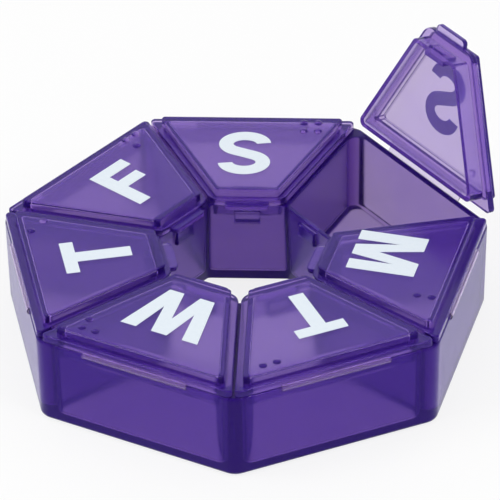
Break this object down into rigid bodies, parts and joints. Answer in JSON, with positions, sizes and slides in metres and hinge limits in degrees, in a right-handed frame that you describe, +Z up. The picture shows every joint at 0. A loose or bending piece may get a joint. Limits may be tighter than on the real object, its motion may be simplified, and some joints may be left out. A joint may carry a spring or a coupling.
{
  "type": "weekly pill organizer",
  "caption": "Seven-sided translucent pill organizer with an open centre, wedge compartments, snap lids on living hinges, printed day initials and braille dots; one lid stands open.",
  "frame": {"origin": "middle of the open centre, level with the surface that the tray stands on", "axes": "+Z up; one corner of the tray, between the Tuesday and Wednesday lids, points along -Y, and the Saturday side faces +Y"},
  "size_m": [0.1371, 0.1327, 0.0699],
  "materials": {
    "tray_plastic": "translucent tinted polypropylene, smooth moulded gloss",
    "lid_plastic": "translucent tinted polypropylene, smooth moulded gloss",
    "hinge_plastic": "thin translucent film, faintly ribbed along its bend",
    "white_ink": "opaque bluish white pad-printed ink"
  },
  "bodies": {
    "tray": {"tray": "tray_plastic", "hinge_sunday": "hinge_plastic", "hinge_monday": "hinge_plastic", "hinge_tuesday": "hinge_plastic", "hinge_wednesday": "hinge_plastic", "hinge_thursday": "hinge_plastic", "hinge_friday": "hinge_plastic", "hinge_saturday": "hinge_plastic"},
    "lid_sunday": {"lid_sunday": "lid_plastic", "letter_sunday": "white_ink"},
    "lid_monday": {"lid_monday": "lid_plastic", "letter_monday": "white_ink"},
    "lid_tuesday": {"lid_tuesday": "lid_plastic", "letter_tuesday": "white_ink"},
    "lid_wednesday": {"lid_wednesday": "lid_plastic", "letter_wednesday": "white_ink"},
    "lid_thursday": {"lid_thursday": "lid_plastic", "letter_thursday": "white_ink"},
    "lid_friday": {"lid_friday": "lid_plastic", "letter_friday": "white_ink"},
    "lid_saturday": {"lid_saturday": "lid_plastic", "letter_saturday": "white_ink"}
  },
  "joints": [
    {"name": "sunday_hinge", "type": "hinge", "parent": "tray", "child": "lid_sunday", "pos_m": [0.04976, 0.03968, 0.0266], "axis": [-0.6235, 0.7818, 0], "range_deg": [-102, 78], "deforming": ["hinge_sunday"]},
    {"name": "monday_hinge", "type": "hinge", "parent": "tray", "child": "lid_monday", "pos_m": [0.06205, -0.01416, 0.0266], "axis": [0.2225, 0.9749, 0], "range_deg": [0, 180], "deforming": ["hinge_monday"]},
    {"name": "tuesday_hinge", "type": "hinge", "parent": "tray", "child": "lid_tuesday", "pos_m": [0.02762, -0.05735, 0.0266], "axis": [0.901, 0.4339, 0], "range_deg": [0, 180], "deforming": ["hinge_tuesday"]},
    {"name": "wednesday_hinge", "type": "hinge", "parent": "tray", "child": "lid_wednesday", "pos_m": [-0.02762, -0.05735, 0.0266], "axis": [0.901, -0.4339, 0], "range_deg": [0, 180], "deforming": ["hinge_wednesday"]},
    {"name": "thursday_hinge", "type": "hinge", "parent": "tray", "child": "lid_thursday", "pos_m": [-0.06205, -0.01416, 0.0266], "axis": [0.2225, -0.9749, 0], "range_deg": [0, 180], "deforming": ["hinge_thursday"]},
    {"name": "friday_hinge", "type": "hinge", "parent": "tray", "child": "lid_friday", "pos_m": [-0.04976, 0.03968, 0.0266], "axis": [-0.6235, -0.7818, 0], "range_deg": [0, 180], "deforming": ["hinge_friday"]},
    {"name": "saturday_hinge", "type": "hinge", "parent": "tray", "child": "lid_saturday", "pos_m": [0, 0.06365, 0.0266], "axis": [-1, 0, 0], "range_deg": [0, 180], "deforming": ["hinge_saturday"]}
  ]
}
